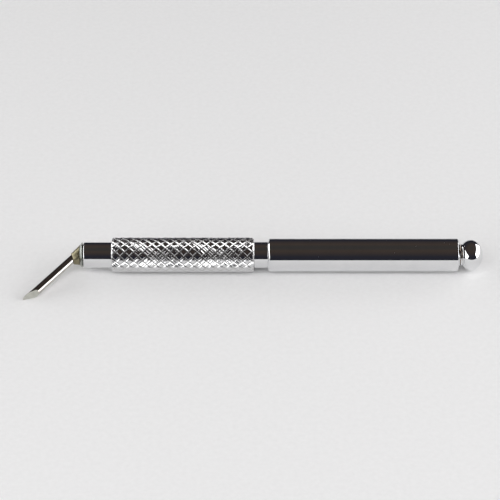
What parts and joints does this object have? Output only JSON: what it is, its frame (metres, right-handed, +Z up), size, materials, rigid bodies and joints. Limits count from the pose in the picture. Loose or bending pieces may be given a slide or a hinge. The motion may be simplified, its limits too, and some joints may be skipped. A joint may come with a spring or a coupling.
{
  "type": "swivel craft knife",
  "caption": "Slim metal craft knife with a bent round cutter on a free-turning swivel head, a knurled grip, a smooth screw barrel that locks the swivel, and a ball end.",
  "frame": {"origin": "On the table, straight below the handle's axis, at the middle of the knurled grip.", "axes": "+X along the handle from the cutter to the ball end, +Z up from the table that the knife lies on; the cutter hangs down towards -Y."},
  "size_m": [0.1098, 0.0165, 0.0083],
  "materials": {
    "chrome_plate": "polished",
    "knurled_chrome": "diamond knurl, polished",
    "cutter_steel": "polished rod, ground tip",
    "warm_nickel": "polished, thinly plated",
    "bright_steel": "turned",
    "bronze": "turned",
    "black_rubber": "matt",
    "brown_fibre": "matt"
  },
  "bodies": {
    "handle": {"grip_sleeve": "knurled_chrome", "nose_collar": "chrome_plate", "thrust_washer": "bright_steel", "front_bush": "bronze", "rear_bush": "bronze", "core_tube": "chrome_plate", "friction_ring": "black_rubber", "return_spring": "bright_steel"},
    "swivel": {"cutter_blade": "cutter_steel", "swivel_head": "warm_nickel", "swivel_spindle": "bright_steel", "retaining_ring": "bright_steel"},
    "lock": {"lock_plunger": "bright_steel", "lock_pad": "brown_fibre", "key_pin": "bright_steel", "thrust_ball": "bright_steel"},
    "barrel": {"barrel_tube": "chrome_plate", "threaded_liner": "bronze", "push_rod": "bright_steel", "end_plug": "bronze", "ball_end": "chrome_plate"}
  },
  "joints": [
    {"name": "cutter_swivel", "type": "hinge", "parent": "handle", "child": "swivel", "pos_m": [-0.02405, 0, 0.00415], "axis": [-1, 0, 0], "continuous": true},
    {"name": "lock_slide", "type": "slide", "parent": "handle", "child": "lock", "axis": [-1, 0, 0], "range_m": [0, 0.00201], "deforming": ["return_spring"]},
    {"name": "barrel_turn", "type": "hinge", "parent": "lock", "child": "barrel", "pos_m": [0.03395, 0, 0.00415], "axis": [-1, 0, 0], "range_deg": [0, 720]}
  ],
  "couplings": [
    {"joint": "lock_slide", "follows": "barrel_turn", "m_per_rad": 0.00015915}
  ]
}
